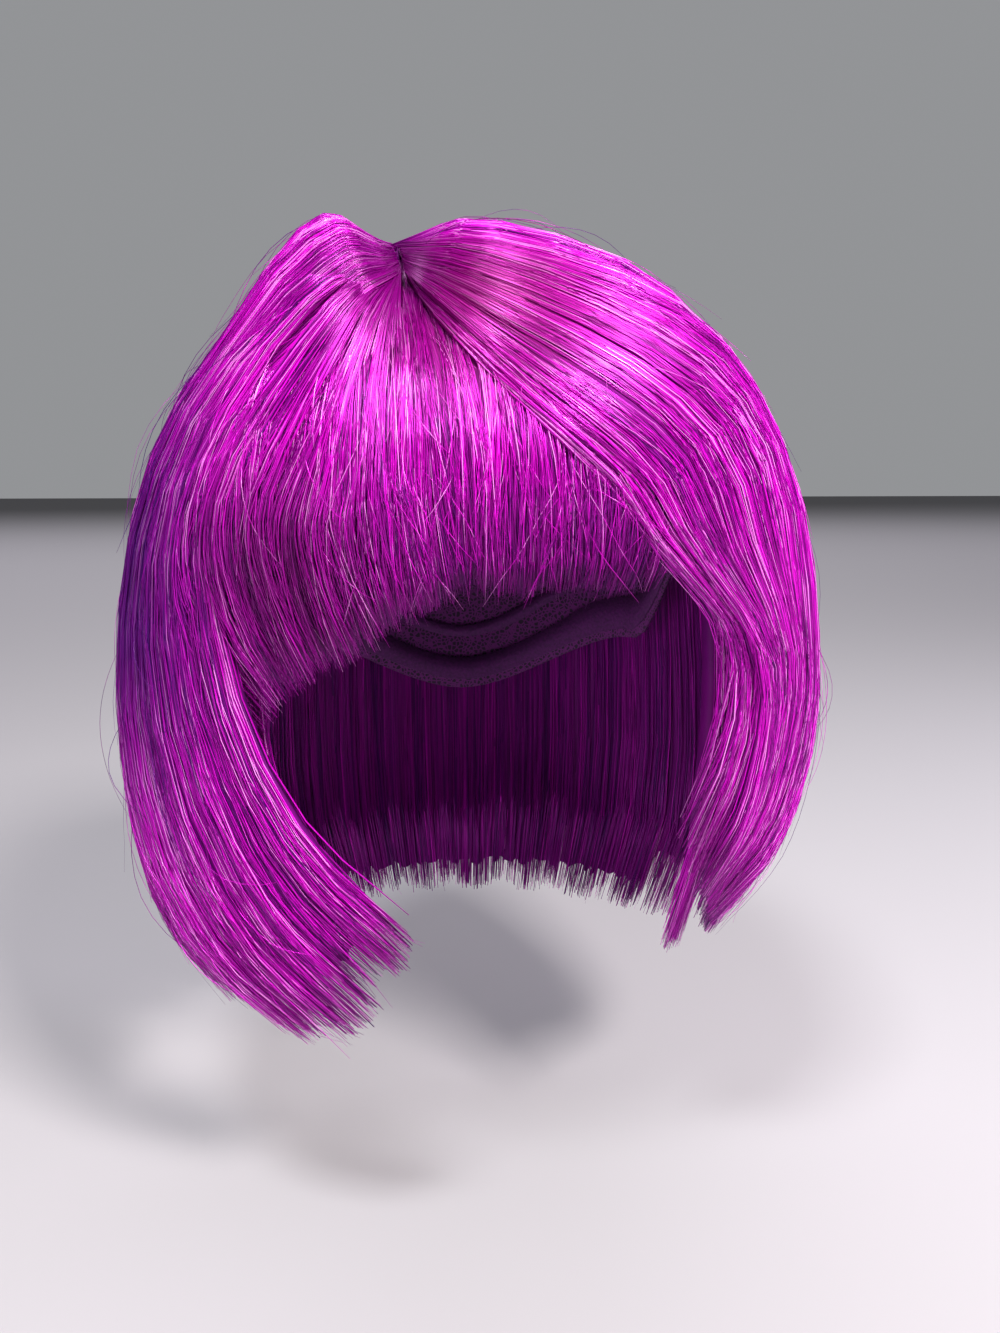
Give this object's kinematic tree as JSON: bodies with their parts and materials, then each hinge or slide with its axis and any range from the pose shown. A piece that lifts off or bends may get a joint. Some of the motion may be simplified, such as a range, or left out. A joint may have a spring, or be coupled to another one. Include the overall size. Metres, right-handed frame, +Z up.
{
  "type": "bob wig",
  "caption": "Straight bob wig of magenta synthetic fibre on a stretch cap, with a full fringe, a short parting and long sides that curl in at the jaw.",
  "frame": {"origin": "inside of the crown of the cap, where the wig sits on top of a head", "axes": "+Z up along the head, -Y the way the face looks, -X the wearer's right"},
  "size_m": [0.236, 0.2432, 0.2635],
  "materials": {
    "cap_net": "matt stretch net with rows of sewn wefts",
    "fringe_fibre": "glossy straight synthetic fibre, magenta",
    "side_fibre": "glossy straight synthetic fibre, magenta with violet shadows",
    "back_fibre": "glossy straight synthetic fibre, deep magenta",
    "temple_fibre": "glossy thin synthetic fibre, magenta"
  },
  "bodies": {
    "root": {"wig_cap": "cap_net", "fringe": "fringe_fibre", "right_side_hair": "side_fibre", "left_side_hair": "side_fibre", "back_hair": "back_fibre", "right_temple_lock": "temple_fibre", "left_temple_lock": "temple_fibre"}
  },
  "joints": []
}
